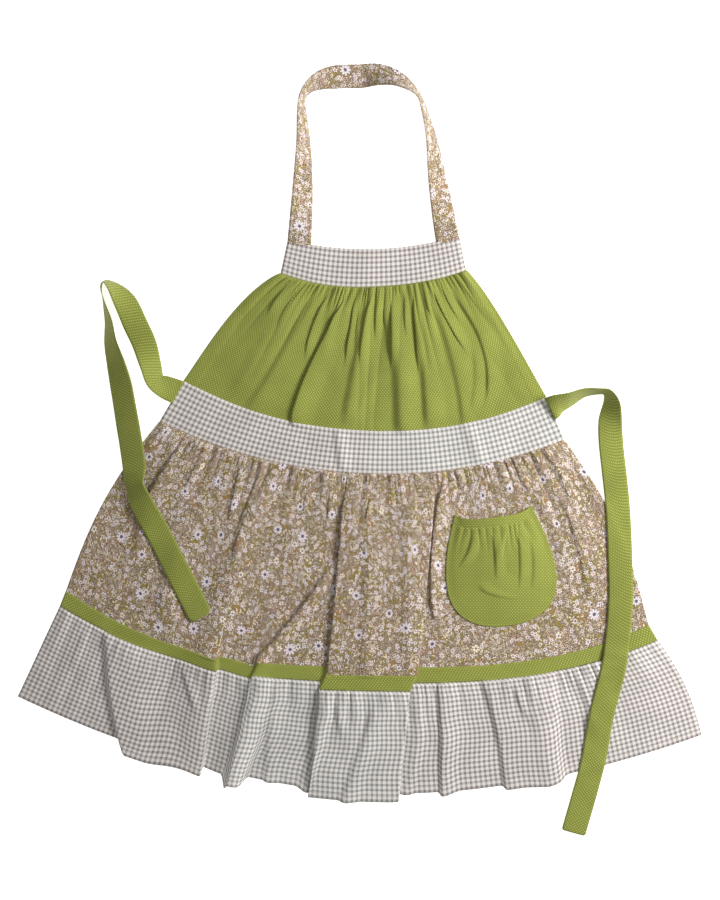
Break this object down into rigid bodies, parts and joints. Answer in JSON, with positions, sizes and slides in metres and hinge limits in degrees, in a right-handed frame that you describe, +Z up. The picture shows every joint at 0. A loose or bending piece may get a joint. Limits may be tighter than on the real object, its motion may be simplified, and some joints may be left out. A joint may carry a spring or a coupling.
{
  "type": "patchwork apron",
  "caption": "Flat-laid cotton apron: gathered bib and skirt, curved waist band, gathered hem ruffle, patch pocket, neck strap and two waist ties.",
  "frame": {"origin": "middle of the waist band, on its underside, where it lies on the surface", "axes": "+Z up from the surface that the apron lies on, +Y along the apron towards the neck strap, +X towards the side with the pocket"},
  "size_m": [0.923, 1.0418, 0.0331],
  "materials": {
    "floral_cotton": "plain-woven cotton with a small all-over flower print",
    "checked_cotton": "woven gingham check in taupe and white",
    "spotted_cotton": "plain-woven green cotton with fine pale spots"
  },
  "bodies": {
    "root": {"neck_strap": "floral_cotton", "bib_band": "checked_cotton", "bib_panel": "spotted_cotton", "waist_band": "checked_cotton", "skirt_panel": "floral_cotton", "pocket": "spotted_cotton", "hem_band": "spotted_cotton", "hem_ruffle": "checked_cotton", "tie_left": "spotted_cotton", "tie_right": "spotted_cotton"}
  },
  "joints": []
}
